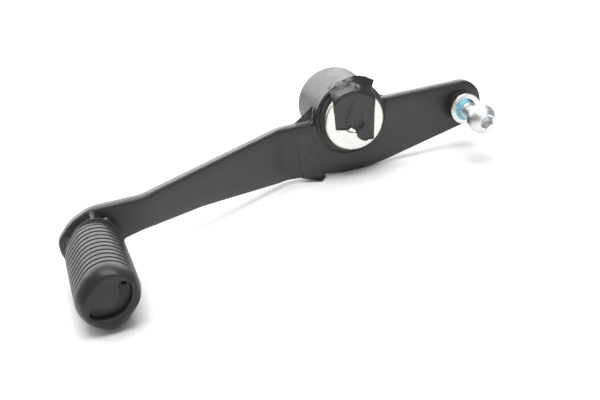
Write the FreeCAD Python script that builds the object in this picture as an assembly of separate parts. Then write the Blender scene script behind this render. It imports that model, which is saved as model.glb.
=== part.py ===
import FreeCAD, Part
import math
import os

from FreeCAD import Vector

# Foot gear shift lever for a motorcycle, lying on its lower edge as it rests on a bench.
# Millimetres. The origin is on the pivot axis, in the middle of the arm plate's thickness.
# +Y runs along the pivot axis, from the rider's side (outboard) to the frame (inboard).
# +X points from the pivot to the ball stud, and +Z is up.

# --- arm plate ---
PLATE_T = 4.5            # plate thickness
EDGE_ROUND = 1.0         # rolled edges of the blank
BEND_ANGLE = 30.0        # both bends, degrees
BEND_RADIUS = 9.0        # bend radius at the plate's mid-plane
BEND_X = -24.5           # where the first bend's centre lines would cross
OUTSET = 30.0            # how far the pedal end stands outboard of the hub
HUB_TOP_Z = 3.5          # top edge from the hub to the ball stud
PEDAL_TOP_Z = 0.5        # top edge from the hub to the pedal end

# --- pivot ---
TUBE_R = 12.5
TUBE_BORE_R = 10.0
TUBE_FRONT_Y = -4.0
TUBE_REAR_Y = 16.4
BARREL_R = 8.0           # collar barrel
BOLT_BORE_R = 4.1        # clearance hole for an M8 pivot bolt
FLANGE_R = 10.33
FLANGE_FRONT_Y = -8.0
FLANGE_T = 2.2
COLLAR_REAR_Y = 17.0
RUN_CLEARANCE = 0.05     # radial, barrel in bush
BUSH_BORE_R = BARREL_R + RUN_CLEARANCE
BUSH_FLANGE_R = 11.2
BUSH_FLANGE_T = 1.3
FRONT_BUSH_REAR_Y = 4.5
REAR_BUSH_Y = (6.0, 14.0)
O_RING_R = 0.55          # section radius
O_RING_YS = {"front_o_ring": 0.5, "rear_o_ring": 10.0}

# --- pedal ---
PEG_X = -94.0
PEG_Z = -10.5
EYE_R = 9.7
PIN_R = 5.0
PIN_HEAD_R = 6.4
RUBBER_START = 4.0       # gap from the plate's face to the rubber
RUBBER_LENGTH = 36.2
RUBBER_WIDTH = 16.7
RUBBER_HEIGHT = 18.7
RUBBER_CORNER = 7.8      # corner radius of the section
RUBBER_TILT = 39.0       # the section's top leans towards the pivot, degrees
RUBBER_TAPER = 0.975     # section at the plate end against the outer end
RUBBER_CROWN = 5.0       # length of the rounded outer end

# --- ball stud ---
STUD_X = 41.5
STUD_Z = -5.2
TIP_X = 49.4
TIP_ROUND = 7.7
BALL_R = 5.0
BALL_Y = -18.3
NECK_R = 2.2
THREAD_R = 2.98          # M6
BALL_FLAT_R = 2.75
HEX_ACROSS_FLATS = 4.0
HEX_DEPTH = 3.0
BOSS_R = 5.5
BOSS_FRONT_Y = -6.5
BOSS_SHANK_R = 4.0

# --- transport tape ---
TAPE_T = 0.25
TAPE_HALF_WIDTH = 7.2
TAPE_GAP = 0.12          # between the tape and what it covers

HALF_T = PLATE_T / 2
AXIS = Vector(0, 1, 0)
ORIGIN = Vector(0, 0, 0)
PEDAL_Y = -OUTSET
PEDAL_FACE_Y = PEDAL_Y - HALF_T


def save(name, shape):
    """Writes one node as a STEP file."""
    shape = shape.removeSplitter()
    if not shape.isValid() or not shape.Solids:
        raise ValueError("bad shape: " + name)
    shape.exportStep("parts/" + name + ".step")
    print(f"{name}: {len(shape.Solids)} solid, {shape.Volume:.0f} mm3")


def along_y(radius, y0, y1, x=0.0, z=0.0):
    """A cylinder along +Y from y0 to y1."""
    return Part.makeCylinder(radius, y1 - y0, Vector(x, y0, z), AXIS)


def ring(outer, inner, y0, y1, x=0.0, z=0.0):
    return along_y(outer, y0, y1, x, z).cut(along_y(inner, y0, y1, x, z))


def turned(profile, x=0.0, z=0.0, start=0.0, sweep=360.0):
    """Revolves (radius, y) points about an axis along Y, from the angle start, measured from +X to +Z."""
    points = [Vector(r, y, 0) for r, y in profile]
    face = Part.Face(Part.makePolygon(points + points[:1]))
    solid = face.revolve(ORIGIN, Vector(0, -1, 0), sweep)
    solid.rotate(ORIGIN, Vector(0, -1, 0), start)
    solid.translate(Vector(x, 0, z))
    return solid


def rounded_face(corners, place):
    """A face from (u, v, corner radius) points. place(u, v) makes the 3-D point."""
    edges = []
    ends = []
    count = len(corners)
    for i in range(count):
        u, v, radius = corners[i]
        here = Vector(u, v, 0)
        back = Vector(*corners[i - 1][:2], 0) - here
        ahead = Vector(*corners[(i + 1) % count][:2], 0) - here
        back.normalize()
        ahead.normalize()
        if radius == 0:
            ends.append((here, here, here))
            continue
        half = back.getAngle(ahead) / 2
        reach = radius / math.tan(half)
        middle = back + ahead
        middle.normalize()
        apex = here + middle * (radius / math.sin(half) - radius)
        ends.append((here + back * reach, apex, here + ahead * reach))
    for i in range(count):
        first, apex, last = (place(p.x, p.y) for p in ends[i])
        following = place(ends[(i + 1) % count][0].x, ends[(i + 1) % count][0].y)
        if (last - first).Length > 1e-6:
            edges.append(Part.Arc(first, apex, last).toShape())
        if (following - last).Length > 1e-6:
            edges.append(Part.LineSegment(last, following).toShape())
    return Part.Face(Part.Wire(edges))


def side_outline():
    """The blank seen along the pivot axis: a round tip, a deep hub, and an eye with one corner cut off."""
    eye_left = PEG_X - EYE_R
    eye_bottom = PEG_Z - EYE_R
    corners = [
        (TIP_X, HUB_TOP_Z, TIP_ROUND),
        (0, HUB_TOP_Z, 0),
        (0, PEDAL_TOP_Z, 0),
        (-92.5, PEDAL_TOP_Z - 0.7, 10.0),
        (-99.0, PEDAL_TOP_Z - 3.7, 12.0),
        (eye_left, -8.6, 5.0),
        (eye_left, eye_bottom, 9.6),
        (PEG_X + 5.2, eye_bottom, 5.0),
        (PEG_X + 9.6, -12.4, 2.5),
        (-77.0, -10.6, 12.0),
        (-58.0, -12.6, 40.0),
        (-28.0, -18.3, 30.0),
        (4.6, -21.0, 60.0),
        (TIP_X, -11.0, TIP_ROUND),
    ]
    return rounded_face(corners, lambda u, v: Vector(u, 0, v))


def plan_band():
    """The plate seen from above: flat at the hub, bent outboard, and flat again at the pedal."""
    tangent = math.tan(math.radians(BEND_ANGLE))
    second_x = BEND_X - OUTSET / tangent
    miter = HALF_T * math.tan(math.radians(BEND_ANGLE / 2))
    tight = BEND_RADIUS - HALF_T
    wide = BEND_RADIUS + HALF_T
    far_right = TIP_X + 10
    far_left = PEG_X - 30
    corners = [
        (far_right, HALF_T, 0),
        (BEND_X - miter, HALF_T, wide),
        (second_x - miter, PEDAL_Y + HALF_T, tight),
        (far_left, PEDAL_Y + HALF_T, 0),
        (far_left, PEDAL_Y - HALF_T, 0),
        (second_x + miter, PEDAL_Y - HALF_T, wide),
        (BEND_X + miter, -HALF_T, tight),
        (far_right, -HALF_T, 0),
    ]
    return rounded_face(corners, lambda u, v: Vector(u, v, 0))


def lever_arm():
    """One bent plate. Its edges are rolled, and the tube, the pin and the boss have their holes."""
    height = 60
    band = plan_band()
    band.translate(Vector(0, 0, -height / 2))
    band = band.extrude(Vector(0, 0, height))
    side = side_outline()
    side.translate(Vector(0, -height, 0))
    plate = band.common(side.extrude(Vector(0, 2 * height, 0)))
    thin = [e for e in plate.Edges if not is_across(e) and not is_hidden(e)]
    plate = plate.makeFillet(EDGE_ROUND, thin)
    plate = plate.cut(along_y(TUBE_R + 0.02, -height, height))
    plate = plate.cut(along_y(PIN_R + 0.02, -height, height, PEG_X, PEG_Z))
    return plate.cut(along_y(BOSS_SHANK_R + 0.02, -height, height, STUD_X, STUD_Z))


def is_across(edge):
    """True for an edge that runs through the plate's thickness, or is a bend line."""
    first, last = edge.Vertexes[0].Point, edge.Vertexes[-1].Point
    step = last - first
    through = abs(step.y) > 0.95 * step.Length and abs(step.Length - PLATE_T) < 1.5
    bend_line = abs(step.z) > 0.99 * step.Length and edge.Curve.TypeId == "Part::GeomLine"
    return through or bend_line


def is_hidden(edge):
    """True for an edge that the tube's hole removes."""
    return all(math.hypot(v.Point.x, v.Point.z) < TUBE_R - 1 for v in edge.Vertexes)


def hub_weld(face_y, leg, outward):
    """A fillet weld where the plate meets the tube: round the lower half, up to both top edges."""
    profile = [
        (TUBE_R + 0.02, face_y),
        (TUBE_R + leg, face_y),
        (TUBE_R + 0.45 * leg, face_y + outward * 0.45 * leg),
        (TUBE_R + 0.02, face_y + outward * leg),
    ]
    start = 180.0 - math.degrees(math.asin(PEDAL_TOP_Z / TUBE_R))
    stop = 360.0 + math.degrees(math.asin(HUB_TOP_Z / TUBE_R))
    return turned(profile, start=start, sweep=stop - start)


def pivot_tube():
    chamfer = 0.5
    profile = [
        (TUBE_BORE_R, TUBE_FRONT_Y),
        (TUBE_R - chamfer, TUBE_FRONT_Y),
        (TUBE_R, TUBE_FRONT_Y + chamfer),
        (TUBE_R, TUBE_REAR_Y - chamfer),
        (TUBE_R - chamfer, TUBE_REAR_Y),
        (TUBE_BORE_R, TUBE_REAR_Y),
    ]
    return turned(profile)


def front_bush():
    """A flanged bush: its flange takes the collar's thrust and shuts out dirt."""
    profile = [
        (BUSH_BORE_R, TUBE_FRONT_Y - BUSH_FLANGE_T),
        (BUSH_FLANGE_R, TUBE_FRONT_Y - BUSH_FLANGE_T),
        (BUSH_FLANGE_R, TUBE_FRONT_Y),
        (TUBE_BORE_R, TUBE_FRONT_Y),
        (TUBE_BORE_R, FRONT_BUSH_REAR_Y),
        (BUSH_BORE_R, FRONT_BUSH_REAR_Y),
    ]
    return turned(profile)


def rear_bush():
    return ring(TUBE_BORE_R, BUSH_BORE_R, *REAR_BUSH_Y)


def rear_seal():
    """A lip seal in the tube's inboard mouth, just clear of the barrel."""
    profile = [
        (BARREL_R + 1.0, REAR_BUSH_Y[1]),
        (TUBE_BORE_R, REAR_BUSH_Y[1]),
        (TUBE_BORE_R, TUBE_REAR_Y - 0.2),
        (BARREL_R + 0.3, TUBE_REAR_Y - 0.2),
        (BARREL_R + 0.1, TUBE_REAR_Y - 0.6),
        (BARREL_R + 1.0, TUBE_REAR_Y - 1.0),
    ]
    return turned(profile)


def o_ring(y):
    """A ring in a groove of the barrel, level with its surface."""
    return Part.makeTorus(BARREL_R - O_RING_R, O_RING_R, Vector(0, y, 0), AXIS)


def pivot_collar():
    """A flanged collar. The flange's flat face is the seat for the bolt head."""
    edge = 0.35
    back_y = FLANGE_FRONT_Y + FLANGE_T
    profile = [
        (BOLT_BORE_R + edge, FLANGE_FRONT_Y),
        (FLANGE_R - edge, FLANGE_FRONT_Y),
        (FLANGE_R, FLANGE_FRONT_Y + edge),
        (FLANGE_R, back_y - edge),
        (FLANGE_R - edge, back_y),
        (BARREL_R, back_y),
    ]
    groove_half = O_RING_R + 0.05
    groove_r = BARREL_R - 2 * O_RING_R - 0.02
    for y in O_RING_YS.values():
        profile += [
            (BARREL_R, y - groove_half),
            (groove_r, y - groove_half),
            (groove_r, y + groove_half),
            (BARREL_R, y + groove_half),
        ]
    profile += [
        (BARREL_R, COLLAR_REAR_Y - edge),
        (BARREL_R - edge, COLLAR_REAR_Y),
        (BOLT_BORE_R, COLLAR_REAR_Y),
        (BOLT_BORE_R, FLANGE_FRONT_Y + edge),
    ]
    return turned(profile)


def peg_pin():
    """The pedal's steel core, through the eye, with a head that keeps the rubber on."""
    rear_y = PEDAL_Y + HALF_T + 0.6
    head_y = PEDAL_FACE_Y - RUBBER_LENGTH + 2.7
    profile = [
        (0, rear_y),
        (PIN_R - 0.5, rear_y),
        (PIN_R, rear_y - 0.5),
        (PIN_R, head_y + 3.0),
        (PIN_HEAD_R, head_y + 2.0),
        (PIN_HEAD_R, head_y + 0.8),
        (PIN_R - 0.5, head_y),
        (0, head_y),
    ]
    return turned(profile, PEG_X, PEG_Z)


def peg_weld(face_y, leg, height, outward):
    """A fillet weld round the pin: leg along the plate and height along the pin."""
    profile = [
        (PIN_R + 0.02, face_y),
        (PIN_R + leg, face_y),
        (PIN_R + 0.6 * leg, face_y + outward * 0.6 * height),
        (PIN_R + 0.02, face_y + outward * height),
    ]
    return turned(profile, PEG_X, PEG_Z)


def rubber_section(scale, y):
    """A rounded section, taller than it is wide, leaning towards the pivot."""
    u, v = RUBBER_WIDTH / 2 * scale, RUBBER_HEIGHT / 2 * scale
    corner = RUBBER_CORNER * scale
    corners = [(u, v, corner), (-u, v, corner), (-u, -v, corner), (u, -v, corner)]
    face = rounded_face(corners, lambda a, b: Vector(PEG_X + a, y, PEG_Z + b))
    face.rotate(Vector(PEG_X, y, PEG_Z), AXIS, RUBBER_TILT)
    return face.OuterWire


def peg_rubber():
    """The foot rubber, closed at its outer end, moulded over the pin and its head."""
    start_y = PEDAL_FACE_Y - RUBBER_START
    end_y = start_y - RUBBER_LENGTH
    crown_y = end_y + RUBBER_CROWN
    body = Part.makeLoft(
        [rubber_section(RUBBER_TAPER, start_y), rubber_section(1.0, crown_y)], True, True
    )
    crown_sections = [
        rubber_section(1.0, crown_y),
        rubber_section(0.97, end_y + 0.45 * RUBBER_CROWN),
        rubber_section(0.88, end_y + 0.12 * RUBBER_CROWN),
        rubber_section(0.77, end_y),
    ]
    cap = Part.makeLoft(crown_sections, True, True)
    return body.fuse(cap).cut(peg_pin())


def stud_boss():
    """A plated boss with a shank through the plate's tip, tapped M6 and countersunk in front."""
    sink_r, sink_depth, edge = 3.65, 0.8, 0.3
    bore_r = THREAD_R + 0.02
    profile = [
        (bore_r, BOSS_FRONT_Y + sink_depth),
        (sink_r, BOSS_FRONT_Y),
        (BOSS_R - edge, BOSS_FRONT_Y),
        (BOSS_R, BOSS_FRONT_Y + edge),
        (BOSS_R, -HALF_T),
        (BOSS_SHANK_R, -HALF_T),
        (BOSS_SHANK_R, HALF_T + 0.4),
        (bore_r, HALF_T + 0.4),
    ]
    return turned(profile, STUD_X, STUD_Z)


def boss_weld():
    leg = 1.8
    profile = [
        (BOSS_SHANK_R + 0.02, HALF_T),
        (BOSS_SHANK_R + leg, HALF_T),
        (BOSS_SHANK_R + 0.4 * leg, HALF_T + 0.3 * leg),
        (BOSS_SHANK_R + 0.02, HALF_T + 0.4 * leg),
    ]
    return turned(profile, STUD_X, STUD_Z)


def ball_stud():
    """A ball on a neck, one piece with its M6 shank. A hexagon socket in the ball turns it."""
    shank_front_y = BOSS_FRONT_Y - 2.6
    tail_y = HALF_T + 1.6
    shank = turned(
        [
            (0, shank_front_y),
            (NECK_R, shank_front_y),
            (THREAD_R, shank_front_y + 0.7),
            (THREAD_R, tail_y - 0.6),
            (THREAD_R - 0.6, tail_y),
            (0, tail_y),
        ],
        STUD_X,
        STUD_Z,
    )
    neck = along_y(NECK_R, BALL_Y, shank_front_y + 0.1, STUD_X, STUD_Z)
    ball = Part.makeSphere(BALL_R, Vector(STUD_X, BALL_Y, STUD_Z))
    flat_y = BALL_Y - math.sqrt(BALL_R**2 - BALL_FLAT_R**2)
    ball = ball.cut(along_y(BALL_R, flat_y - BALL_R, flat_y, STUD_X, STUD_Z))
    hex_r = HEX_ACROSS_FLATS / math.sqrt(3)
    corners = [
        Vector(
            STUD_X + hex_r * math.cos(math.radians(60 * i)),
            flat_y,
            STUD_Z + hex_r * math.sin(math.radians(60 * i)),
        )
        for i in range(7)
    ]
    socket = Part.Face(Part.makePolygon(corners)).extrude(Vector(0, HEX_DEPTH, 0))
    return shank.fuse([neck, ball]).cut(socket)


def threadlock_ring():
    """Cured threadlocker round the shank, where it enters the boss."""
    profile = [
        (THREAD_R + 0.02, BOSS_FRONT_Y - 1.3),
        (THREAD_R + 0.25, BOSS_FRONT_Y - 1.1),
        (THREAD_R + 0.45, BOSS_FRONT_Y - 0.1),
        (THREAD_R + 0.15, BOSS_FRONT_Y + 0.5),
        (THREAD_R + 0.02, BOSS_FRONT_Y + 0.5),
    ]
    return turned(profile, STUD_X, STUD_Z)


def pivot_tape():
    """A strip down the flange's face, from the top of the tube, which keeps the collar in."""
    face_y = FLANGE_FRONT_Y - TAPE_GAP
    lower_z, tube_end_y = -8.0, -2.4
    rim_r = FLANGE_R + 0.25
    lip_r = TUBE_R + TAPE_GAP
    half = math.degrees(math.asin(TAPE_HALF_WIDTH / rim_r))
    profile = [
        (rim_r - 1.0, face_y),
        (rim_r, face_y),
        (lip_r, TUBE_FRONT_Y - 0.1),
        (lip_r, tube_end_y),
        (lip_r + TAPE_T, tube_end_y),
        (lip_r + TAPE_T, TUBE_FRONT_Y - 0.2),
        (rim_r + 0.1, face_y - TAPE_T),
        (rim_r - 1.0, face_y - TAPE_T),
    ]
    hood = turned(profile, start=90 - half, sweep=2 * half)
    flap = Part.makeBox(
        2 * TAPE_HALF_WIDTH, TAPE_T, rim_r - lower_z, Vector(-TAPE_HALF_WIDTH, face_y - TAPE_T, lower_z)
    )
    flap = flap.common(along_y(rim_r, face_y - TAPE_T, face_y))
    return hood.fuse(flap)


def arm_tape():
    """A strip round the arm beside the tube, with its ends pinched above and below."""
    x0, x1, gap = -19.8, -15.2, TAPE_GAP
    low_z, high_z = -19.5 - gap, PEDAL_TOP_Z + gap
    outer = Part.makeBox(
        x1 - x0,
        PLATE_T + 2 * (gap + TAPE_T),
        high_z - low_z + 2 * TAPE_T,
        Vector(x0, -HALF_T - gap - TAPE_T, low_z - TAPE_T),
    )
    inner = Part.makeBox(
        x1 - x0, PLATE_T + 2 * gap, high_z - low_z, Vector(x0, -HALF_T - gap, low_z)
    )
    ear_t = 0.5
    top_z = high_z + TAPE_T
    ear = Part.Face(
        Part.makePolygon(
            [
                Vector(x0 + 1.0, 0, top_z),
                Vector(x1 + 2.2, 0, top_z),
                Vector(x1 + 3.2, 0, top_z + 4.2),
                Vector(x0 + 1.0, 0, top_z),
            ]
        )
    ).extrude(Vector(0, ear_t, 0))
    low_y = -HALF_T - gap - TAPE_T
    flap = Part.Face(
        Part.makePolygon(
            [
                Vector(x0, low_y, low_z - TAPE_T),
                Vector(x1, low_y, low_z - TAPE_T),
                Vector(x1 + 2.5, low_y - 3.0, low_z - TAPE_T),
                Vector(x0, low_y, low_z - TAPE_T),
            ]
        )
    ).extrude(Vector(0, 0, ear_t))
    return outer.cut(inner).fuse([ear, flap])


os.makedirs("parts", exist_ok=True)
save("lever_arm", lever_arm())
save("pivot_tube", pivot_tube())
save("front_hub_weld", hub_weld(-HALF_T, 1.1, -1))
save("rear_hub_weld", hub_weld(HALF_T, 2.6, 1))
save("front_bush", front_bush())
save("rear_bush", rear_bush())
save("rear_seal", rear_seal())
for ring_name, ring_y in O_RING_YS.items():
    save(ring_name, o_ring(ring_y))
save("pivot_collar", pivot_collar())
save("peg_pin", peg_pin())
save("front_peg_weld", peg_weld(PEDAL_FACE_Y, 3.8, 2.2, -1))
save("rear_peg_weld", peg_weld(PEDAL_Y + HALF_T, 1.6, 1.3, 1))
save("peg_rubber", peg_rubber())
save("stud_boss", stud_boss())
save("boss_weld", boss_weld())
save("ball_stud", ball_stud())
save("threadlock_ring", threadlock_ring())
save("pivot_tape", pivot_tape())
save("arm_tape", arm_tape())
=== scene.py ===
import math

import bmesh
import bpy
from mathutils import Matrix, Vector, kdtree, noise


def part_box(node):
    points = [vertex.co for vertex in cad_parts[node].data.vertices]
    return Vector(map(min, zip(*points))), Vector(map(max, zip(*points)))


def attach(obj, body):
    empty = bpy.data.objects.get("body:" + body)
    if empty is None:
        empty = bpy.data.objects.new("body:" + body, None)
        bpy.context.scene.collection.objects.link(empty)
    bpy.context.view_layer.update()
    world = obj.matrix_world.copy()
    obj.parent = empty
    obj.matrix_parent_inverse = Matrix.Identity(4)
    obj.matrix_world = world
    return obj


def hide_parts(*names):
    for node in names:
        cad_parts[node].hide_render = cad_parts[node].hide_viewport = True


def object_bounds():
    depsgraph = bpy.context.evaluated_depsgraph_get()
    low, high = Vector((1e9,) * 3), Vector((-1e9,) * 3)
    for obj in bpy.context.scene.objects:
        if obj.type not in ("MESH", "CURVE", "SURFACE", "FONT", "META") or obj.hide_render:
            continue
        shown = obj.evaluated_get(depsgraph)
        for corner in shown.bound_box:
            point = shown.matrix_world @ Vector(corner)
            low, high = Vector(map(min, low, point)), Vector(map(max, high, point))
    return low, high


# A motorcycle's foot gear shift lever, lying on a white table. Shapes are worked out in millimetres
# and scaled to metres when a mesh is made.
MM = 0.001

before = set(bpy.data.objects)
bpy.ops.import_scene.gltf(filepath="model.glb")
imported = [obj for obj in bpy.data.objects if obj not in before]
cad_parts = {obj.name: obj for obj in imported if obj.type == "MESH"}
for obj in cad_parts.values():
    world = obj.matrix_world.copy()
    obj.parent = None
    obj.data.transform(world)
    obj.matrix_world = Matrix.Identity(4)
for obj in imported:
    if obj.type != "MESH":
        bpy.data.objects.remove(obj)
cad_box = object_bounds()


def millimetres(node):
    """The node's lowest and highest corners, in millimetres."""
    low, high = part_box(node)
    return low / MM, high / MM


# ---------------------------------------------------------------- sizes from the frame

RUBBER_LOW, RUBBER_HIGH = millimetres("peg_rubber")
PIN_LOW, PIN_HIGH = millimetres("peg_pin")
FLANGE_LOW, FLANGE_HIGH = millimetres("pivot_collar")
TUBE_LOW, TUBE_HIGH = millimetres("pivot_tube")
ARM_LOW, ARM_HIGH = millimetres("lever_arm")
STUD_LOW, STUD_HIGH = millimetres("ball_stud")

PIN_R = 5.0              # the peg pin, and the hole in the arm's eye
BOSS_SHANK_R = 4.0       # the boss's shank, and its hole in the arm's tip
PEG_X = (PIN_LOW.x + PIN_HIGH.x) / 2
PEG_Z = (PIN_LOW.z + PIN_HIGH.z) / 2
PEDAL_FACE_Y = ARM_LOW.y
PLATE_REAR_Y = ARM_HIGH.y
PLATE_FRONT_Y = -PLATE_REAR_Y
FLANGE_R = FLANGE_HIGH.x
FLANGE_FACE_Y = FLANGE_LOW.y
TUBE_R = TUBE_HIGH.x
TUBE_FRONT_Y = TUBE_LOW.y
STUD_X = (STUD_LOW.x + STUD_HIGH.x) / 2
STUD_Z = (STUD_LOW.z + STUD_HIGH.z) / 2
BOSS_FRONT_Y = millimetres("stud_boss")[0].y
FLOOR_Z = cad_box[0][2] / MM

# ---------------------------------------------------------------- materials


class Look:
    """A node material under construction."""

    def __init__(self, name, colour, metallic=0.0, roughness=0.5, **sockets):
        self.material = bpy.data.materials.new(name)
        self.material.use_nodes = True
        self.tree = self.material.node_tree
        self.shader = self.tree.nodes["Principled BSDF"]
        self.shader.inputs["Base Color"].default_value = (*colour, 1)
        self.shader.inputs["Metallic"].default_value = metallic
        self.shader.inputs["Roughness"].default_value = roughness
        for socket, value in sockets.items():
            self.shader.inputs[socket.replace("_", " ")].default_value = value
        self.place = self.add("ShaderNodeTexCoord").outputs["Object"]

    def add(self, kind, **values):
        node = self.tree.nodes.new(kind)
        for key, value in values.items():
            setattr(node, key, value)
        return node

    def link(self, output, target):
        self.tree.links.new(output, target)

    def stretched(self, scale):
        """Object coordinates, scaled along X, Y and Z."""
        mapping = self.add("ShaderNodeMapping")
        mapping.inputs["Scale"].default_value = scale
        self.link(self.place, mapping.inputs["Vector"])
        return mapping.outputs["Vector"]

    def noise(self, size_mm, detail=3.0, roughness=0.5, place=None):
        """A noise whose features are about size_mm across."""
        node = self.add("ShaderNodeTexNoise")
        node.inputs["Scale"].default_value = 1.0 / (size_mm * MM)
        node.inputs["Detail"].default_value = detail
        node.inputs["Roughness"].default_value = roughness
        self.link(place or self.place, node.inputs["Vector"])
        return node.outputs["Fac"]

    def spread(self, value, low, high, start=0.3, stop=0.7):
        """Maps a value between start and stop to low to high."""
        node = self.add("ShaderNodeMapRange")
        for socket, number in (("From Min", start), ("From Max", stop), ("To Min", low), ("To Max", high)):
            node.inputs[socket].default_value = number
        self.link(value, node.inputs["Value"])
        return node.outputs["Result"]

    def colours(self, value, stops):
        """A colour ramp over (position, colour) stops."""
        node = self.add("ShaderNodeValToRGB")
        elements = node.color_ramp.elements
        while len(elements) < len(stops):
            elements.new(0.5)
        for element, (position, colour) in zip(elements, stops):
            element.position = position
            element.color = (*colour, 1)
        self.link(value, node.inputs["Fac"])
        return node.outputs["Color"]

    def base(self, colour):
        self.link(colour, self.shader.inputs["Base Color"])

    def rough(self, value):
        self.link(value, self.shader.inputs["Roughness"])

    def bumps(self, *layers):
        """Stacks (height, depth in mm) layers of bump."""
        normal = None
        for height, depth in layers:
            node = self.add("ShaderNodeBump")
            node.inputs["Strength"].default_value = 1.0
            node.inputs["Distance"].default_value = depth * MM
            self.link(height, node.inputs["Height"])
            if normal:
                self.link(normal, node.inputs["Normal"])
            normal = node.outputs["Normal"]
        self.link(normal, self.shader.inputs["Normal"])


def powder_coat():
    """Satin black powder coat: fine orange peel, faint dust and rubbed patches."""
    look = Look("powder_coat", (0.02, 0.02, 0.021), roughness=0.38, Specular_IOR_Level=0.68)
    patches = look.noise(14, 4)
    look.base(look.colours(patches, [(0.35, (0.018, 0.018, 0.0185)), (0.65, (0.024, 0.024, 0.0245))]))
    look.rough(look.spread(look.noise(3, 5, 0.6), 0.34, 0.43))
    look.bumps((look.noise(0.9, 2), 0.02), (look.noise(0.22, 2), 0.006))
    return look.material


def weld_coat():
    """The same coat over a weld, glossier, with a few pinholes."""
    look = Look("weld_coat", (0.018, 0.018, 0.019), roughness=0.26, Specular_IOR_Level=0.68)
    look.base(look.colours(look.noise(2.5, 3), [(0.4, (0.015, 0.015, 0.016)), (0.75, (0.024, 0.024, 0.025))]))
    look.rough(look.spread(look.noise(1.2, 3), 0.16, 0.3))
    look.bumps((look.noise(1.0, 2), 0.05), (look.noise(0.3, 2), 0.008))
    return look.material


def zinc(name, colour, roughness, turning_mm, depth_mm):
    """Zinc plate over turned steel: rings of tool marks, cloudy patches and a faint warm tint."""
    look = Look(name, colour, metallic=1.0, roughness=roughness)
    tint = tuple(c * f for c, f in zip(colour, (1.0, 0.97, 0.88)))
    cool = tuple(c * f for c, f in zip(colour, (0.93, 0.97, 1.0)))
    look.base(look.colours(look.noise(4, 3), [(0.35, cool), (0.5, colour), (0.68, tint)]))
    look.rough(look.spread(look.noise(1.6, 4), roughness - 0.06, roughness + 0.1))
    marks = look.add("ShaderNodeTexNoise", noise_dimensions="1D")
    split = look.add("ShaderNodeSeparateXYZ")
    look.link(look.place, split.inputs["Vector"])
    marks.inputs["Scale"].default_value = 1.0
    marks.inputs["Detail"].default_value = 4.0
    along = look.add("ShaderNodeMath", operation="MULTIPLY")
    along.inputs[1].default_value = 1.0 / (turning_mm * MM)
    look.link(split.outputs["Y"], along.inputs[0])
    look.link(along.outputs["Value"], marks.inputs["W"])
    look.bumps((marks.outputs["Fac"], depth_mm), (look.noise(0.35, 3), 0.004))
    return look.material


def masked_boss():
    """Black coat, with the front face masked off and left in bare zinc."""
    look = Look("masked_boss", (0.8, 0.81, 0.8), metallic=1.0, roughness=0.28)
    split = look.add("ShaderNodeSeparateXYZ")
    look.link(look.place, split.inputs["Vector"])
    ragged = look.add("ShaderNodeMath", operation="MULTIPLY_ADD")
    ragged.inputs[1].default_value = 0.25 * MM
    look.link(look.noise(0.8, 3), ragged.inputs[0])
    look.link(split.outputs["Y"], ragged.inputs[2])
    edge = BOSS_FRONT_Y + 0.4
    masked = look.spread(ragged.outputs["Value"], 1.0, 0.0, edge * MM, (edge + 0.1) * MM)
    patches = look.noise(2, 4)
    bare = look.colours(patches, [(0.35, (0.74, 0.76, 0.76)), (0.65, (0.84, 0.84, 0.81))])
    coat = look.colours(patches, [(0.35, (0.02, 0.02, 0.021)), (0.65, (0.03, 0.03, 0.031))])
    mix = look.add("ShaderNodeMix", data_type="RGBA")
    look.link(masked, mix.inputs["Factor"])
    look.link(coat, mix.inputs["A"])
    look.link(bare, mix.inputs["B"])
    look.base(mix.outputs["Result"])
    look.link(masked, look.shader.inputs["Metallic"])
    look.rough(look.spread(look.noise(1.2, 4), 0.24, 0.36))
    look.bumps((look.noise(0.5, 3), 0.01))
    return look.material


def moulded_rubber():
    """Satin black rubber with a dusty bloom and a fine moulding grain."""
    look = Look("moulded_rubber", (0.022, 0.022, 0.024), roughness=0.38, Specular_IOR_Level=0.42)
    bloom = look.noise(5, 5, 0.6)
    look.base(look.colours(bloom, [(0.35, (0.019, 0.019, 0.021)), (0.7, (0.03, 0.03, 0.033))]))
    look.rough(look.spread(look.noise(2, 4), 0.34, 0.43))
    look.bumps((look.noise(0.5, 3), 0.012), (look.noise(0.14, 2), 0.004))
    return look.material


def vinyl_tape():
    """Black PVC tape: a soft sheen, stretch marks along it and a little dust."""
    look = Look("vinyl_tape", (0.022, 0.022, 0.023), roughness=0.34, Specular_IOR_Level=0.65)
    look.base(look.colours(look.noise(3, 4), [(0.4, (0.018, 0.018, 0.019)), (0.75, (0.028, 0.028, 0.029))]))
    look.rough(look.spread(look.noise(1.5, 3), 0.26, 0.36))
    stretch = look.noise(0.5, 3, place=look.stretched((1.0, 0.25, 0.25)))
    look.bumps((look.noise(2.2, 2), 0.1), (stretch, 0.01))
    return look.material


def threadlocker():
    """Cured blue threadlocker, thin and patchy over the plating."""
    look = Look("threadlocker", (0.2, 0.52, 0.66), roughness=0.35)
    thick, even, thin = (0.12, 0.4, 0.55), (0.2, 0.52, 0.66), (0.4, 0.68, 0.76)
    look.base(look.colours(look.noise(0.9, 4), [(0.35, thick), (0.55, even), (0.75, thin)]))
    look.rough(look.spread(look.noise(0.5, 3), 0.28, 0.5))
    look.bumps((look.noise(0.6, 3), 0.05))
    return look.material


def bearing_polymer():
    """Dark grey bush polymer, slightly mottled."""
    look = Look("bearing_polymer", (0.05, 0.05, 0.048), roughness=0.5)
    look.base(look.colours(look.noise(1.2, 4), [(0.4, (0.04, 0.04, 0.038)), (0.7, (0.07, 0.068, 0.06))]))
    look.rough(look.spread(look.noise(0.8, 3), 0.42, 0.6))
    look.bumps((look.noise(0.3, 2), 0.01))
    return look.material


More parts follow.
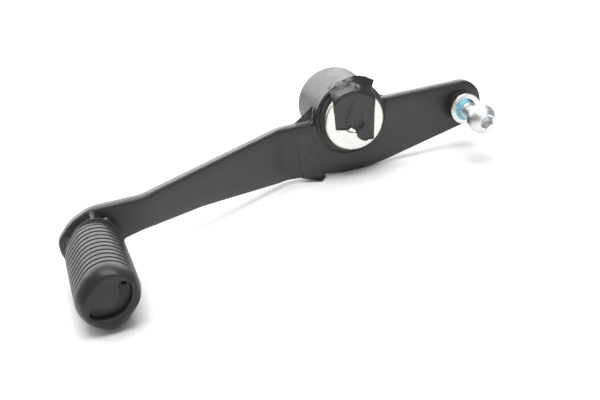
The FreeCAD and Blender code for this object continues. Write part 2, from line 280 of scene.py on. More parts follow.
def seal_rubber():
    """Matt black nitrile of the O-rings and the lip seal."""
    look = Look("seal_rubber", (0.02, 0.02, 0.02), roughness=0.5)
    look.base(look.colours(look.noise(1.5, 4), [(0.4, (0.014, 0.014, 0.015)), (0.7, (0.028, 0.028, 0.028))]))
    look.rough(look.spread(look.noise(0.7, 3), 0.4, 0.6))
    look.bumps((look.noise(0.25, 2), 0.01))
    return look.material


def table_top():
    """A plain white table, with a barely visible variation."""
    look = Look("table_top", (0.9, 0.9, 0.9), roughness=0.6)
    look.base(look.colours(look.noise(120, 2), [(0.3, (0.895, 0.895, 0.895)), (0.7, (0.905, 0.905, 0.905))]))
    return look.material


COAT = powder_coat()
WELD = weld_coat()
COLLAR = zinc("zinc_collar", (0.83, 0.82, 0.79), 0.28, 0.5, 0.004)
BRIGHT = zinc("zinc_bright", (0.82, 0.83, 0.84), 0.4, 0.35, 0.003)
BOSS = masked_boss()
RUBBER = moulded_rubber()
TAPE = vinyl_tape()
BLUE = threadlocker()
POLYMER = bearing_polymer()
SEAL = seal_rubber()

KEPT_NODES = {           # shown as their CAD shapes
    "pivot_tube": COAT,
    "peg_pin": WELD,
    "pivot_collar": COLLAR,
    "stud_boss": BOSS,
    "front_bush": POLYMER,
    "rear_bush": POLYMER,
    "rear_seal": SEAL,
    "front_o_ring": SEAL,
    "rear_o_ring": SEAL,
}
for node_name, node_material in KEPT_NODES.items():
    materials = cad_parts[node_name].data.materials
    materials.clear()
    materials.append(node_material)

# ---------------------------------------------------------------- mesh helpers


def make_piece(name, points, faces, material, body, stands_for, sharp=35.0):
    """A mesh object from points in millimetres, which stands for one CAD node."""
    mesh = bpy.data.meshes.new(name)
    mesh.from_pydata([Vector(p) * MM for p in points], [], faces)
    bm = bmesh.new()
    bm.from_mesh(mesh)
    bmesh.ops.remove_doubles(bm, verts=bm.verts, dist=0.001 * MM)
    bmesh.ops.recalc_face_normals(bm, faces=bm.faces)
    bm.to_mesh(mesh)
    bm.free()
    mesh.shade_smooth()
    mesh.set_sharp_from_angle(angle=math.radians(sharp))
    mesh.materials.append(material)
    piece = bpy.data.objects.new(name, mesh)
    bpy.context.scene.collection.objects.link(piece)
    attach(piece, body)
    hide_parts(stands_for)
    return piece


def loft(loops, closed=True, capped=True):
    """Points and faces of a skin over loops of equal length. Capped ends close on their middle point."""
    count = len(loops[0])
    points = [p for loop in loops for p in loop]
    faces = []
    span = count if closed else count - 1
    for row in range(len(loops) - 1):
        for i in range(span):
            j = (i + 1) % count
            faces.append((row * count + i, row * count + j, (row + 1) * count + j, (row + 1) * count + i))
    if capped:
        for row, loop in ((0, loops[0]), (len(loops) - 1, loops[-1])):
            middle = sum((Vector(p) for p in loop), Vector()) / count
            points.append(middle)
            for i in range(count):
                faces.append((row * count + i, row * count + (i + 1) % count, len(points) - 1))
    return points, faces


def smoothstep(low, high, value):
    """0 below low, 1 above high, and eased between them."""
    t = min(max((value - low) / (high - low), 0.0), 1.0)
    return t * t * (3 - 2 * t)


# ---------------------------------------------------------------- arm

PLATE_T = PLATE_REAR_Y - PLATE_FRONT_Y
PEDAL_Y = PEDAL_FACE_Y + PLATE_T / 2
BEND_SLOPE = math.radians(30)
BEND_R = 9.0             # of the plate's middle
FIRST_BEND_X = -24.5
SECOND_BEND_X = FIRST_BEND_X + PEDAL_Y / math.tan(BEND_SLOPE)
EDGE_R = 0.8             # radius along every edge
ROLL_WIDTH = 4.5         # the faces roll over softly towards the edges
ROLL_DROP = 0.55
OUTLINE_SPACING = 0.1
STATION_SPACING = 0.5    # between sections away from the plate's ends
EDGE_STEPS = [0.0, 0.06, 0.15, 0.28, 0.43, 0.6, 0.8, 1.1, 1.5, 2.0, 2.6, 3.3, 4.1, 5.0]
ARM_SHARP = 40
EYE_R = 9.7
EYE_LEFT, EYE_BOTTOM = ARM_LOW.x, PEG_Z - EYE_R
ARM_OUTLINE = [          # X, Z and corner radius, clockwise from the ball stud's end
    (ARM_HIGH.x, ARM_HIGH.z, 7.7),
    (ARM_HIGH.x, -11.0, 7.7),
    (4.6, -21.0, 60.0),
    (-28.0, -18.3, 30.0),
    (-58.0, -12.6, 40.0),
    (-77.0, -10.6, 12.0),
    (PEG_X + 9.6, -12.4, 2.5),
    (PEG_X + 5.2, EYE_BOTTOM, 5.0),
    (EYE_LEFT, EYE_BOTTOM, 9.6),
    (EYE_LEFT, -8.6, 5.0),
    (-99.0, -3.2, 12.0),
    (-92.5, -0.2, 10.0),
    (-1.0, 0.5, 0.0),
    (1.0, ARM_HIGH.z, 0.0),
]


def rounded_polygon(corners, spacing):
    """Points along a closed outline of (u, v, corner radius)."""
    ends = []
    for i, (u, v, radius) in enumerate(corners):
        here = Vector((u, v))
        back = (Vector(corners[i - 1][:2]) - here).normalized()
        ahead = (Vector(corners[(i + 1) % len(corners)][:2]) - here).normalized()
        half = back.angle(ahead) / 2
        reach = radius / math.tan(half)
        centre = here + (back + ahead).normalized() * radius / math.sin(half)
        ends.append((here + back * reach, here + ahead * reach, centre, radius))
    outline = []
    for i, (first, last, centre, radius) in enumerate(ends):
        turn = (first - centre).angle_signed(last - centre) if radius else 0.0
        steps = max(1, int(abs(turn) * radius / spacing))
        spoke = first - centre
        for k in range(steps):
            c, s = math.cos(-turn * k / steps), math.sin(-turn * k / steps)
            outline.append(centre + Vector((spoke.x * c - spoke.y * s, spoke.x * s + spoke.y * c)))
        following = ends[(i + 1) % len(ends)][0]
        steps = max(1, int((following - last).length / spacing))
        outline += [last.lerp(following, k / steps) for k in range(steps)]
    return outline


def plate_place(x, offset, z):
    """A point of the bent plate: x along its middle, offset towards its rear face."""
    reach = BEND_R * math.tan(BEND_SLOPE / 2)
    first, second = x - FIRST_BEND_X, x - SECOND_BEND_X
    if first > reach:
        y, slope = 0.0, 0.0
    elif first > -reach * math.cos(BEND_SLOPE):
        slope = math.asin((reach - first) / BEND_R)
        y = BEND_R * (math.cos(slope) - 1)
    elif second > reach * math.cos(BEND_SLOPE):
        y, slope = first * math.tan(BEND_SLOPE), BEND_SLOPE
    elif second > -reach:
        slope = math.asin((second + reach) / BEND_R)
        y = PEDAL_Y + BEND_R * (1 - math.cos(slope))
    else:
        y, slope = PEDAL_Y, 0.0
    return (x - offset * math.sin(slope), y + offset * math.cos(slope), z)


def arm_plate():
    """One bent plate, with small edge radii and faces that roll over softly towards the edges."""
    outline = rounded_polygon(ARM_OUTLINE, OUTLINE_SPACING)
    count = len(outline)
    tree = kdtree.KDTree(count)
    for i, p in enumerate(outline):
        tree.insert((p.x, p.y, 0), i)
    tree.balance()

    def edge_distance(x, z):
        """Distance to the outline, from the two runs beside its nearest point."""
        here = Vector((x, z))
        nearest = tree.find((x, z, 0))[1]
        gaps = []
        for i in (nearest - 1, nearest):
            a, b = outline[i % count], outline[(i + 1) % count]
            run = b - a
            t = min(max((here - a).dot(run) / run.length_squared, 0.0), 1.0)
            gaps.append((here - a - run * t).length)
        return min(gaps)

    def half_thickness(x, z):
        """Half the plate's thickness, less the roll of its face and the radius of its edge."""
        d = edge_distance(x, z)
        half = PLATE_T / 2 - ROLL_DROP * (1 - min(d, ROLL_WIDTH) / ROLL_WIDTH) ** 2
        if d < EDGE_R:
            half -= EDGE_R - math.sqrt(EDGE_R**2 - (EDGE_R - d) ** 2)
        return half

    def heights(x, above_tube):
        """Lowest and highest Z of the plate at x. Over the tube's hole it ends at the hole."""
        crossings = []
        for i in range(count):
            a, b = outline[i], outline[(i + 1) % count]
            if (a.x - x) * (b.x - x) <= 0 and abs(a.x - b.x) > 1e-9:
                crossings.append(a.y + (b.y - a.y) * (x - a.x) / (b.x - a.x))
        low, high = min(crossings), max(crossings)
        if not above_tube:
            high = -math.sqrt(max(TUBE_R**2 - x * x, 0.0))
        return low, high

    end_zone = EDGE_STEPS[-1]
    left, right = min(p.x for p in outline) + 1e-4, max(p.x for p in outline) - 1e-4
    stations = [(left + d, True) for d in EDGE_STEPS] + [(right - d, True) for d in EDGE_STEPS]
    length = right - left - 2 * end_zone
    runs = int(length / STATION_SPACING)
    for k in range(1, runs):
        x = left + end_zone + length * k / runs
        stations.append((x, abs(x) > TUBE_R))
    stations += [(-TUBE_R, True), (-TUBE_R, False), (TUBE_R, False), (TUBE_R, True)]
    stations.sort(key=lambda s: (s[0], not s[1] if s[0] < 0 else s[1]))
    loops = []
    for x, above_tube in stations:
        low, high = heights(x, above_tube)
        squeeze = min(1.0, (high - low) / (2 * end_zone + STATION_SPACING))
        levels = [low + d * squeeze for d in EDGE_STEPS]
        tops = [high - d * squeeze for d in reversed(EDGE_STEPS)]
        middle = [levels[-1] + (tops[0] - levels[-1]) * k / 4 for k in (1, 2, 3)]
        levels = levels + middle + tops
        halves = [half_thickness(x, z) for z in levels]
        front = [plate_place(x, -h, z) for h, z in zip(halves, levels)]
        rear = [plate_place(x, h, z) for h, z in zip(reversed(halves), reversed(levels))]
        loops.append(front + rear)
    points, faces = loft(loops)
    plate = make_piece("bent_arm", points, faces, COAT, "lever", "lever_arm", ARM_SHARP)
    drill(plate, (PEG_X, PEDAL_Y, PEG_Z), PIN_R)
    drill(plate, (STUD_X, 0, STUD_Z), BOSS_SHANK_R)
    return plate


def drill(piece, place, radius):
    """Cuts a round hole along Y, right through the plate."""
    bm = bmesh.new()
    bmesh.ops.create_cone(
        bm, cap_ends=True, segments=72, radius1=radius * MM, radius2=radius * MM, depth=12 * MM,
        matrix=Matrix.Translation(Vector(place) * MM) @ Matrix.Rotation(math.pi / 2, 4, "X"),
    )
    mesh = bpy.data.meshes.new("drill")
    bm.to_mesh(mesh)
    bm.free()
    cutter = bpy.data.objects.new("drill", mesh)
    bpy.context.scene.collection.objects.link(cutter)
    cut = piece.modifiers.new("hole", "BOOLEAN")
    cut.operation = "DIFFERENCE"
    cut.solver = "EXACT"
    cut.object = cutter
    depsgraph = bpy.context.evaluated_depsgraph_get()
    drilled = bpy.data.meshes.new_from_object(piece.evaluated_get(depsgraph))
    piece.modifiers.clear()
    piece.data = drilled
    drilled.shade_smooth()
    drilled.set_sharp_from_angle(angle=math.radians(ARM_SHARP))
    bpy.data.objects.remove(cutter)


# ---------------------------------------------------------------- foot rubber

SECTION_POINTS = 240
RUBBER_WIDTH = 16.7      # the section, before it leans over
RUBBER_HEIGHT = 18.7
RUBBER_CORNER = 7.9
RUBBER_LEAN = math.radians(39)
RUBBER_TAPER = 0.975     # the section's size at the plate's end, against the rounded end's
SHOULDER = 0.93          # a further narrowing over the first few millimetres
CROWN = 5.0              # length of the rounded end
FLAT_WIDTH = 12.0        # the end's flat, which leans further over
FLAT_HEIGHT = 15.4
FLAT_CORNER = 5.2
FLAT_LEAN = math.radians(52)
FLAT_SHIFT = (0.55, -0.2)
GROOVES = 12
GROOVE_PITCH = 2.6
GROOVE_HALF = 0.4        # half its width
GROOVE_DEPTH = 0.95
FIRST_GROOVE = 1.6       # from the rubber's inner end
GROOVE_SHAPE = [         # one side of it: place and depth, as shares of the half width and the depth
    (-1.35, 0.0), (-1.1, 0.0), (-0.95, 0.05), (-0.8, 0.3), (-0.6, 0.75), (-0.3, 0.95), (0.0, 1.0),
]
LIP_SHAPE = [            # the lip at the plate's end: how far it stands out, and how far in from the end
    (-0.5, 0.0), (0.6, 0.1), (0.9, 0.3), (0.9, 0.6), (0.6, 0.8), (0.1, 0.95), (0.0, 1.05),
]
DISH_DEPTH = 0.5
SLOT_DEPTH = 1.9
SLOT_HALF = 1.55
SLOT_R = 6.0             # the curved slot's centre line
SLOT_CENTRE = Vector((-1.2, 2.4))
SLOT_START, SLOT_STOP = math.radians(10), math.radians(-122)
NUB_HEIGHT = 0.9         # the nub in the slot's upper end
NUB_R = 0.8
LIP_SIDE = (0.86, 0.5)   # the lip is full on this side and fades out round the other
LIP_CLEARANCE = 0.05     # above the table


def rounded_outline(width, height, corner, count):
    """Evenly spaced points round a rounded rectangle."""
    a, b = width / 2 - corner, height / 2 - corner
    arc = math.pi / 2 * corner
    runs = [(2 * b, arc), (2 * a, arc), (2 * b, arc), (2 * a, arc)]
    starts = [(a + corner, -b), (a, b + corner), (-a - corner, b), (-a, -b - corner)]
    centres = [(a, b), (-a, b), (-a, -b), (a, -b)]
    total = sum(r + s for r, s in runs)
    outline = []
    for i in range(count):
        s = total * i / count
        side = 0
        while s > sum(runs[side]):
            s -= sum(runs[side])
            side += 1
        heading = math.pi / 2 * (side + 1)
        if s < runs[side][0]:
            x, y = starts[side]
            outline.append((x + s * math.cos(heading), y + s * math.sin(heading)))
        else:
            turn = (s - runs[side][0]) / corner
            x, y = centres[side]
            angle = heading - math.pi / 2 + turn
            outline.append((x + corner * math.cos(angle), y + corner * math.sin(angle)))
    return outline


def slot_recess(x, z):
    """Depth of the curved slot at a place on the rubber's end, measured from the pin's axis."""
    place = Vector((x, z)) - SLOT_CENTRE
    angle = math.atan2(place.y, place.x)
    nearest = min(max(angle, SLOT_STOP), SLOT_START)
    if angle > math.pi / 2:
        nearest = SLOT_STOP
    foot = Vector((math.cos(nearest), math.sin(nearest))) * SLOT_R
    distance = (place - foot).length
    nub_place = Vector((math.cos(SLOT_START), math.sin(SLOT_START))) * SLOT_R
    nub = NUB_HEIGHT * (1 - smoothstep(0.2, NUB_R, (place - nub_place).length))
    return SLOT_DEPTH * (1 - smoothstep(SLOT_HALF - 0.12, SLOT_HALF + 0.08, distance)) - nub


def leaning(outline, lean):
    """An outline turned about the pin's axis, from upright towards the pivot."""
    c, s = math.cos(lean), math.sin(lean)
    return [(a * c + b * s, b * c - a * s) for a, b in outline]


def foot_rubber():
    """Ribs round the body, a lip, a rounded end, and a dished flat with a curved slot."""
    body = leaning(rounded_outline(RUBBER_WIDTH, RUBBER_HEIGHT, RUBBER_CORNER, SECTION_POINTS), RUBBER_LEAN)
    flat = leaning(rounded_outline(FLAT_WIDTH, FLAT_HEIGHT, FLAT_CORNER, SECTION_POINTS), FLAT_LEAN)
    flat = [(a + FLAT_SHIFT[0], b + FLAT_SHIFT[1]) for a, b in flat]
    start_y, end_y = RUBBER_HIGH.y, RUBBER_LOW.y
    crown_y = end_y + CROWN
    radius = RUBBER_WIDTH / 2

    def loop(scale, y):
        """The body's section at y, scaled about the pin's axis."""
        return [(PEG_X + a * scale, y, PEG_Z + b * scale) for a, b in body]

    def body_scale(y):
        """The body's size at y, between the plate's end and the rounded end."""
        taper = RUBBER_TAPER + (1 - RUBBER_TAPER) * (start_y - y) / (start_y - crown_y)
        return taper * (SHOULDER + (1 - SHOULDER) * smoothstep(-1.0, 6.0, start_y - y))

    def lip(extra, y):
        """A thin flange that fades out away from the pivot. The table presses it flat underneath."""
        ring = []
        for a, b in body:
            side = smoothstep(-0.1, 0.75, (LIP_SIDE[0] * a + LIP_SIDE[1] * b) / math.hypot(a, b))
            scale = body_scale(y) * (1 + (extra * side if extra > 0 else extra) / radius)
            ring.append((PEG_X + a * scale, y, max(PEG_Z + b * scale, FLOOR_Z + LIP_CLEARANCE)))
        return ring

    loops = [loop(PIN_R / radius, start_y)]
    loops += [lip(extra, start_y - depth) for extra, depth in LIP_SHAPE]
    profile = GROOVE_SHAPE + [(-place, depth) for place, depth in reversed(GROOVE_SHAPE[:-1])]
    for groove in range(GROOVES):
        middle = start_y - FIRST_GROOVE - groove * GROOVE_PITCH
        for place, depth in profile:
            y = middle - place * GROOVE_HALF
            loops.append(loop(body_scale(y) * (1 - depth * GROOVE_DEPTH / radius), y))
    steps = 16
    for step in range(steps + 1):          # the rounded end
        angle = math.pi / 2 * step / steps
        share = 1 - math.cos(angle)
        y = crown_y - CROWN * math.sin(angle)
        loops.append([
            (PEG_X + a + (c - a) * share, y, PEG_Z + b + (d - b) * share)
            for (a, b), (c, d) in zip(body, flat)
        ])
    rings = 70
    for ring in range(1, rings):           # the flat, from its edge to its middle
        share = 1 - ring / rings
        dish = DISH_DEPTH * smoothstep(0.0, 0.3, 1 - share)
        loops.append([
            (PEG_X + a * share, end_y + dish + slot_recess(a * share, b * share), PEG_Z + b * share)
            for a, b in flat
        ])
    points, faces = loft(loops)
    return make_piece("foot_rubber", points, faces, RUBBER, "lever", "peg_rubber", 50)


# ---------------------------------------------------------------- welds


RIPPLE = 0.08            # as a share of the bead's size
RIPPLE_PITCH = 1.4       # along the bead
BEAD_LAP = 0.15          # how far the bead goes into the tube
BEAD_SINK = 0.3          # and into the plate
BEAD_BULGE = 0.16        # how much its face stands out
BEAD_CURVE = 0.85        # below 1, its face is fuller
BEAD_STEP = 1.2          # degrees
TAPER_STEPS = 5          # over which an open bead's end tapers


def weld_bead(name, node, x, z, root_r, face_y, legs, outward, seed, start=0.0, sweep=360.0, lumps=()):
    """A fillet weld round a tube: ripples, an uneven toe, lumps and, if it is open, tapered ends.

    legs are its size along the plate and along the tube. A lump is (angle, half width, extra size).
    """
    closed = sweep == 360.0
    steps = int(abs(sweep) / BEAD_STEP)
    count = steps if closed else steps + 1
    across = 9
    pitch = math.degrees(RIPPLE_PITCH / (root_r + legs[0] / 2))
    inner_r = root_r - BEAD_LAP
    loops = []
    for i in range(count):
        angle = start + sweep * i / steps
        phase = (angle / pitch) % 1.0
        size = 1 + RIPPLE * noise.noise(Vector((angle / 17, seed, 0))) + RIPPLE * (phase**0.6 - 0.6)
        for middle, half, extra in lumps:
            size += extra * math.exp(-(((angle - middle) / half) ** 2))
        if not closed:
            size *= smoothstep(-0.6, 1.0, min(i, count - 1 - i) / TAPER_STEPS)
        c, s = math.cos(math.radians(angle)), math.sin(math.radians(angle))
        section = []
        for k in range(across):
            turn = math.pi / 2 * k / (across - 1)
            bulge = BEAD_BULGE * math.sin(2 * turn)
            along_plate = (1 - math.cos(turn)) ** BEAD_CURVE + bulge
            along_tube = (1 - math.sin(turn)) ** BEAD_CURVE + bulge
            r = inner_r + legs[0] * size * along_plate + BEAD_LAP * turn
            y = legs[1] * size * along_tube
            section.append((x + r * c, face_y + outward * y, z + r * s))
        section.append((x + inner_r * c, face_y - outward * BEAD_SINK, z + inner_r * s))
        loops.append(section)
    if closed:
        loops.append(loops[0])
    points, faces = loft(loops, capped=not closed)
    return make_piece(name, points, faces, WELD, "lever", node, 50)


def all_welds():
    """The tube's two open beads end at the arm's top edge. The pin's and the boss's go all the way round."""
    left = 180 - math.degrees(math.asin(0.5 / TUBE_R))
    sweep = 360 + math.degrees(math.asin(3.5 / TUBE_R)) - left
    hub_lumps = ((left + sweep - 1, 6, 1.3), (left + 3, 7, 0.5))
    peg_lumps = (
        (80, 17, 0.95), (46, 9, 0.6), (150, 14, 0.2), (205, 12, 0.25), (262, 15, 0.2), (318, 12, 0.3),
    )
    pedal_rear_y = PEDAL_Y + PLATE_T / 2
    weld_bead("hub_bead_front", "front_hub_weld", 0, 0, TUBE_R, PLATE_FRONT_Y, (0.9, 0.8), -1, 1,
              left, sweep, hub_lumps)
    weld_bead("hub_bead_rear", "rear_hub_weld", 0, 0, TUBE_R, PLATE_REAR_Y, (2.5, 2.5), 1, 2, left, sweep)
    weld_bead("peg_bead_front", "front_peg_weld", PEG_X, PEG_Z, PIN_R, PEDAL_FACE_Y, (2.5, 2.5), -1, 3,
              lumps=peg_lumps)
    weld_bead("peg_bead_rear", "rear_peg_weld", PEG_X, PEG_Z, PIN_R, pedal_rear_y, (1.5, 1.4), 1, 4)
    weld_bead("boss_bead", "boss_weld", STUD_X, STUD_Z, BOSS_SHANK_R, PLATE_REAR_Y, (1.4, 0.7), 1, 5)


# ---------------------------------------------------------------- ball stud

BALL_R = 5.0
NECK_R = 2.2
THREAD_R = 2.98
THREAD_PITCH = 1.0
THREAD_DEPTH = 0.6
THREAD_SHOWN = 1.9       # the thread that stands out of the boss
FLAT_R = 2.75            # the flat on the ball, round the socket
HEX_FLATS = 4.0          # across the socket's flats
HEX_DEPTH = 3.0
STUD_POINTS = 120
SMEAR_START, SMEAR_SWEEP = 62, 230    # degrees round the shank
SMEAR_REACH = 0.75
SMEAR_STAND = 0.8        # how much less it stands out at its two ends


def stud_with_ball():
    """Ball, neck and threaded shank in one turned piece, with a hexagon socket in the ball's flat."""
    angles = [2 * math.pi * i / STUD_POINTS for i in range(STUD_POINTS)]
    flat_y, tail_y = STUD_LOW.y, STUD_HIGH.y
    ball_y = flat_y + math.sqrt(BALL_R**2 - FLAT_R**2)
    thread_front = BOSS_FRONT_Y - THREAD_SHOWN

    def circle(r, y):
        return [(STUD_X + r * math.cos(a), y, STUD_Z + r * math.sin(a)) for a in angles]

    def hexagon(flats, y):
        corners = []
        for a in angles:
            r = flats / 2 / math.cos((a + math.pi / 6) % (math.pi / 3) - math.pi / 6)
            corners.append((STUD_X + r * math.cos(a), y, STUD_Z + r * math.sin(a)))
        return corners

    def threaded(y):
        """A section through the thread at y: the radius follows the helix."""
        ring = []
        start = smoothstep(thread_front - 0.1, thread_front + 0.6, y)
        stop = smoothstep(tail_y + 0.1, tail_y - 0.5, y)
        for a in angles:
            turn = (y / THREAD_PITCH + a / (2 * math.pi)) % 1.0
            crest = THREAD_DEPTH * (1 - smoothstep(0.08, 0.5, min(turn, 1 - turn)))
            r = THREAD_R - THREAD_DEPTH + crest * start * stop
            ring.append((STUD_X + r * math.cos(a), y, STUD_Z + r * math.sin(a)))
        return ring

    loops = [
        circle(0.05, flat_y + HEX_DEPTH + 0.7),
        circle(HEX_FLATS / 2 - 0.15, flat_y + HEX_DEPTH),
        hexagon(HEX_FLATS, flat_y + HEX_DEPTH),
        hexagon(HEX_FLATS, flat_y + 0.3),
        hexagon(HEX_FLATS + 0.35, flat_y + 0.03),
        circle(FLAT_R - 0.12, flat_y),
    ]
    first = math.asin(FLAT_R / BALL_R)
    last = math.pi - math.asin(NECK_R / BALL_R)
    steps = 40
    for step in range(steps + 1):
        angle = first + (last - first) * step / steps
        loops.append(circle(BALL_R * math.sin(angle), ball_y - BALL_R * math.cos(angle)))
    neck_start = ball_y - BALL_R * math.cos(last)
    loops.append(circle(NECK_R, neck_start + 0.35))
    loops.append(circle(NECK_R, thread_front - 0.6))
    loops.append(circle(NECK_R + 0.18, thread_front - 0.2))
    rows = int((tail_y - thread_front) / (THREAD_PITCH / 10))
    for row in range(rows + 1):
        loops.append(threaded(thread_front + (tail_y - thread_front) * row / rows))
    points, faces = loft(loops)
    return make_piece("ball_and_shank", points, faces, BRIGHT, "lever", "ball_stud", 32)


def blue_smear():
    """Threadlocker squeezed out round one side of the shank, over the boss's countersink."""
    ring_front = millimetres("threadlock_ring")[0].y
    loops = []
    steps = 90
    for i in range(steps + 1):
        share = i / steps
        angle = math.radians(SMEAR_START + SMEAR_SWEEP * share)
        ragged = 0.16 * noise.noise(Vector((share * 9, 3.1, 0)))
        fade = smoothstep(0.0, 0.14, share) * smoothstep(1.0, 0.84, share)
        front = ring_front - 0.1 + SMEAR_STAND * (1 - fade) + ragged
        reach = THREAD_R + SMEAR_REACH * fade + ragged * 0.6
        section = [          # radius and Y
            (THREAD_R - 0.35, front),
            (THREAD_R + 0.1, front - 0.05),
            (THREAD_R + 0.3 * fade + 0.12, (front + BOSS_FRONT_Y) / 2),
            (reach, BOSS_FRONT_Y - 0.06),
            (reach + 0.35 * fade, BOSS_FRONT_Y + 0.02),
            (reach, BOSS_FRONT_Y + 0.25),
            (THREAD_R - 0.35, BOSS_FRONT_Y + 0.6),
        ]
        c, s = math.cos(angle), math.sin(angle)
        loops.append([(STUD_X + r * c, y, STUD_Z + r * s) for r, y in section])
    points, faces = loft(loops)
    return make_piece(
        "blue_threadlocker", points, faces, BLUE, "lever", "threadlock_ring", 45
    )


# ---------------------------------------------------------------- tapes

TAPE_T = 0.13
TAPE_STAND_OFF = 0.14    # from the flange's face to the middle of the tape
BORE_R = 4.1             # of the pivot bolt's bore, under the collar's tape
ARM_TAPE_GAP = 0.02      # from the arm's face to the middle of the tape
CREASE_ROUNDING = 0.12   # how much the arm's tape rounds over at its creases
RUCK = 0.08              # its fine unevenness
TORN_END = [             # X and Z along the collar tape's torn lower end
    (-7.0, -1.8), (-4.6, -2.35), (-2.6, -2.6), (-1.4, -2.3), (-0.5, -3.1),
    (0.25, -4.0), (0.45, -6.1), (1.5, -7.2), (2.9, -7.9), (4.4, -7.6), (5.6, -7.9), (6.1, -7.4),
]
FLANGE_ANGLES = (131.8, 40.7)    # where the tape's two sides cross the flange's edge
RIM_ANGLES = (120.4, 48.0)       # and the tube's rim
FACE_ROWS, BRIDGE_ROWS, RIM_ROWS = 110, 30, 14


def tape_piece(name, loops, node, sharp):
    """A sheet over the loops, with the tape's thickness shared between its two sides."""
    points, faces = loft(loops, closed=False, capped=False)
    sheet = make_piece(name, points, faces, TAPE, "lever", node, sharp)
    solidify = sheet.modifiers.new("thickness", "SOLIDIFY")
    solidify.thickness = TAPE_T * MM
    solidify.offset = 0.0
    return sheet


def along(points, share):
    """A point at a share of the way along a line of (u, v) points, by u."""
    u = points[0][0] + (points[-1][0] - points[0][0]) * share
    for (u0, v0), (u1, v1) in zip(points, points[1:]):
        if u <= u1:
            break
    return u, v0 + (v1 - v0) * (u - u0) / (u1 - u0)


def between(ends, share):
    """A value at a share of the way from the first end to the second."""
    return ends[0] + (ends[1] - ends[0]) * share


def polar(radius, degrees):
    """X and Z of a place round the pivot axis."""
    return Vector((radius * math.cos(math.radians(degrees)), radius * math.sin(math.radians(degrees))))


def ridge(*place):
    """Noise with sharp crests, from 0 to about 1."""
    return max(0.0, 1 - 2.6 * abs(noise.noise(Vector(place)))) ** 2


def tape_on_face(share, t):
    """The strip on the flange: it sags into the bore and stands a little proud inside the edge."""
    low_x, low_z = along(TORN_END, share)
    low_z += 0.16 * noise.noise(Vector((share * 30, 2, 5)))
    edge = polar(FLANGE_R + 0.05, between(FLANGE_ANGLES, share))
    x, z = low_x + (edge.x - low_x) * t, low_z + (edge.y - low_z) * t
    r = math.hypot(x, z)
    sag = 0.7 * (1 - smoothstep(BORE_R - 1.8, BORE_R - 0.1, r))
    proud = 0.35 * smoothstep(7.4, 9.0, r) * (1 - smoothstep(9.5, 10.3, r)) * smoothstep(0.0, 5.0, z)
    crease = 0.22 * ridge(x * 0.3 + 7, z * 0.12, 1.7) * (1 - smoothstep(5.0, 8.0, r))
    lift = 0.2 * (1 - smoothstep(0.0, 0.07, t))
    return x, FLANGE_FACE_Y - TAPE_STAND_OFF + sag - proud - crease - lift, z


def tape_bridge(share, t):
    """Stretched from the flange's edge back to the tube's rim, in slanting folds."""
    start = between(FLANGE_ANGLES, share)
    stop = between(RIM_ANGLES, share)
    angle = start + (stop - start) * t
    fold = 0.4 * ridge(angle * 0.05, t * 0.9 + angle * 0.012, 4.4)
    fold += 0.12 * noise.noise(Vector((angle * 0.12, t * 2, 9)))
    radius = FLANGE_R + 0.12 + (TUBE_R + 0.2 - FLANGE_R) * t + fold * math.sin(math.pi * t) ** 0.7
    place = polar(radius, angle)
    return place.x, FLANGE_FACE_Y + (TUBE_FRONT_Y - 0.1 - FLANGE_FACE_Y) * t, place.y


def tape_over_rim(share, t):
    """The end on the tube: stuck down at the left, and a loose corner that stands up at the right."""
    angle = between(RIM_ANGLES, share)
    loose = smoothstep(0.2, 0.75, share)
    radius = TUBE_R + 0.32 + (0.05 + 1.75 * loose) * t + 0.2 * ridge(share * 5, t, 2.2) * t
    reach = 1.6 - 1.1 * loose + 0.3 * noise.noise(Vector((share * 7, 6, 6)))
    place = polar(radius, angle + 1.5 * t * loose)
    return place.x, TUBE_FRONT_Y - 0.1 + reach * t, place.y


def pivot_tape():
    """A strip down the collar's face from the tube's rim, torn off at its lower end."""
    columns = 110
    loops = []
    sections = (
        (tape_on_face, FACE_ROWS, FACE_ROWS),
        (tape_bridge, BRIDGE_ROWS, BRIDGE_ROWS),
        (tape_over_rim, RIM_ROWS, RIM_ROWS - 1),
    )
    for section, rows, last in sections:
        for row in range(rows):
            loops.append([section(column / columns, row / last) for column in range(columns + 1)])
    return tape_piece("collar_tape", loops, "pivot_tape", 70)


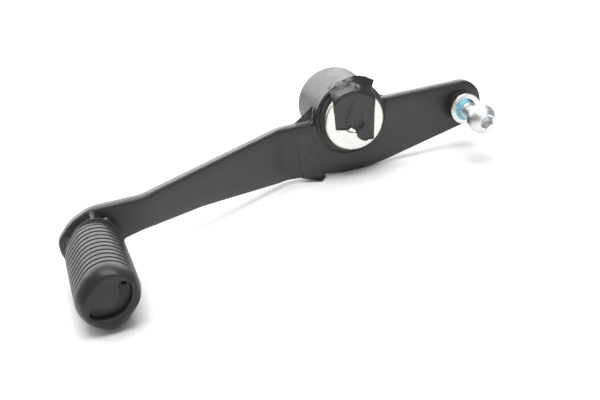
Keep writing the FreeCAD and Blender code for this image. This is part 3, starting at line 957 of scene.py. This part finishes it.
def arm_tape():
    """A strip wrapped round the arm beside the tube. It is pinched into an ear above and a flap below."""
    front, rear = PLATE_FRONT_Y - ARM_TAPE_GAP, PLATE_REAR_Y + ARM_TAPE_GAP
    # each crease, once round the arm from the foot of the front face: left X and Z, right X and Z, Y
    creases = [
        (-18.7, -17.6, -11.8, -18.0, front - 0.05),
        (-19.1, -15.0, -11.9, -15.0, front),
        (-19.3, -8.0, -12.1, -8.0, front),
        (-19.1, -2.4, -14.3, -2.4, front + 0.15),
        (-18.8, 0.1, -14.0, 0.1, front + 0.75),
        (-18.6, 0.72, -13.5, 0.8, -0.9),
        (-18.3, 0.85, -12.9, 0.9, 0.0),
        (-12.5, 5.0, -11.8, 5.15, 0.3),
        (-18.2, 0.8, -12.9, 0.9, 0.6),
        (-18.8, 0.1, -15.0, 0.1, rear - 0.75),
        (-19.3, -2.4, -15.2, -2.4, rear - 0.1),
        (-19.5, -9.0, -12.6, -9.0, rear),
        (-19.3, -17.0, -11.2, -17.4, rear),
        (-19.1, -19.0, -11.4, -19.85, rear - 0.9),
        (-18.8, -19.1, -11.0, -20.0, front + 0.8),
        (-13.6, -20.15, -12.9, -20.2, -4.9),
        (-18.6, -18.8, -10.6, -19.7, front - 0.25),
    ]
    columns, steps = 30, 10
    loops = []
    count = len(creases)
    for i in range(count):
        before, here, after, later = (creases[(i + k) % count] for k in (-1, 0, 1, 2))
        for step in range(steps):
            t = step / steps
            left_x, left_z, right_x, right_z, y = (
                b + (c - b) * t + CREASE_ROUNDING * t * (1 - t) * ((b - a) * (1 - t) - (d - c) * t)
                for a, b, c, d in zip(before, here, after, later)
            )
            line = []
            for column in range(columns + 1):
                share = column / columns
                x, z = left_x + (right_x - left_x) * share, left_z + (right_z - left_z) * share
                ruck = RUCK * noise.noise(Vector((share * 3, i + t, 8)))
                line.append((x, y + ruck * 0.6, z + ruck * 0.4))
            loops.append(line)
    loops.append(loops[0])
    return tape_piece("arm_tape_strip", loops, "arm_tape", 60)


arm_plate()
foot_rubber()
all_welds()
stud_with_ball()
blue_smear()
pivot_tape()
arm_tape()

# ---------------------------------------------------------------- table, light and camera

ROOM_RADIANCE = 0.3
OVERHEAD_RADIANCE = 5.0
BACK_RADIANCE = 3.3
FILL_RADIANCE = 0.55
TABLE_HALF = 6.0         # metres
TABLE_GAP = 0.02         # below the lever, so that the two faces don't fight
CAMERA_PLACE = Vector((-102.1, -319.9, 120.1))    # millimetres
CAMERA_RIGHT = Vector((0.9481, -0.2959, -0.1164)).normalized()
CAMERA_UP = Vector((0.2238, 0.3609, 0.9054)).normalized()
SENSOR_WIDTH, FOCAL_LENGTH = 36.0, 62.04


def make_table():
    """A wide plain top that the lever lies on."""
    bm = bmesh.new()
    bmesh.ops.create_grid(bm, x_segments=8, y_segments=8, size=TABLE_HALF)
    mesh = bpy.data.meshes.new("table")
    bm.to_mesh(mesh)
    bm.free()
    mesh.materials.append(table_top())
    table = bpy.data.objects.new("table", mesh)
    table.location.z = (FLOOR_Z - TABLE_GAP) * MM
    bpy.context.scene.collection.objects.link(table)


def make_panel(name, place, target, size, radiance):
    """A soft rectangular light of even brightness."""
    data = bpy.data.lights.new(name, "AREA")
    data.shape = "RECTANGLE"
    data.size, data.size_y = size
    data.energy = radiance * math.pi * size[0] * size[1]
    light = bpy.data.objects.new(name, data)
    light.location = place
    light.rotation_euler = (Vector(target) - Vector(place)).to_track_quat("-Z", "Y").to_euler()
    light.visible_camera = False
    bpy.context.scene.collection.objects.link(light)


def make_world():
    """A dim room, which metal and gloss reflect, behind a pale backdrop."""
    world = bpy.data.worlds.new("studio")
    world.use_nodes = True
    tree = world.node_tree
    room = tree.nodes["Background"]
    room.inputs["Color"].default_value = (1, 1, 1, 1)
    room.inputs["Strength"].default_value = ROOM_RADIANCE
    backdrop = tree.nodes.new("ShaderNodeBackground")
    backdrop.inputs["Strength"].default_value = 1.0
    rays = tree.nodes.new("ShaderNodeLightPath")
    mix = tree.nodes.new("ShaderNodeMixShader")
    tree.links.new(rays.outputs["Is Camera Ray"], mix.inputs["Fac"])
    tree.links.new(room.outputs["Background"], mix.inputs[1])
    tree.links.new(backdrop.outputs["Background"], mix.inputs[2])
    tree.links.new(mix.outputs["Shader"], tree.nodes["World Output"].inputs["Surface"])
    bpy.context.scene.world = world


def make_camera():
    """Looks down on the lever from the rider's side, from beyond the peg."""
    data = bpy.data.cameras.new("camera")
    data.sensor_width = SENSOR_WIDTH
    data.lens = FOCAL_LENGTH
    data.clip_start = 0.01
    camera = bpy.data.objects.new("camera", data)
    back = CAMERA_RIGHT.cross(CAMERA_UP).normalized()
    turn = Matrix((CAMERA_RIGHT, CAMERA_UP, back)).transposed()
    camera.matrix_world = Matrix.Translation(CAMERA_PLACE * MM) @ turn.to_4x4()
    bpy.context.scene.collection.objects.link(camera)
    bpy.context.scene.camera = camera


make_table()
make_world()
make_panel("overhead_softbox", (0.0, -0.1, 1.1), (-0.02, -0.02, 0), (1.0, 0.9), OVERHEAD_RADIANCE)
make_panel("front_fill", (0.15, -1.1, 1.0), (-0.02, 0, 0), (1.5, 0.8), FILL_RADIANCE)
make_panel("back_panel", (-0.15, 1.2, 0.55), (-0.02, 0, 0), (2.3, 0.9), BACK_RADIANCE)
make_camera()
bpy.context.scene.view_settings.view_transform = "Standard"
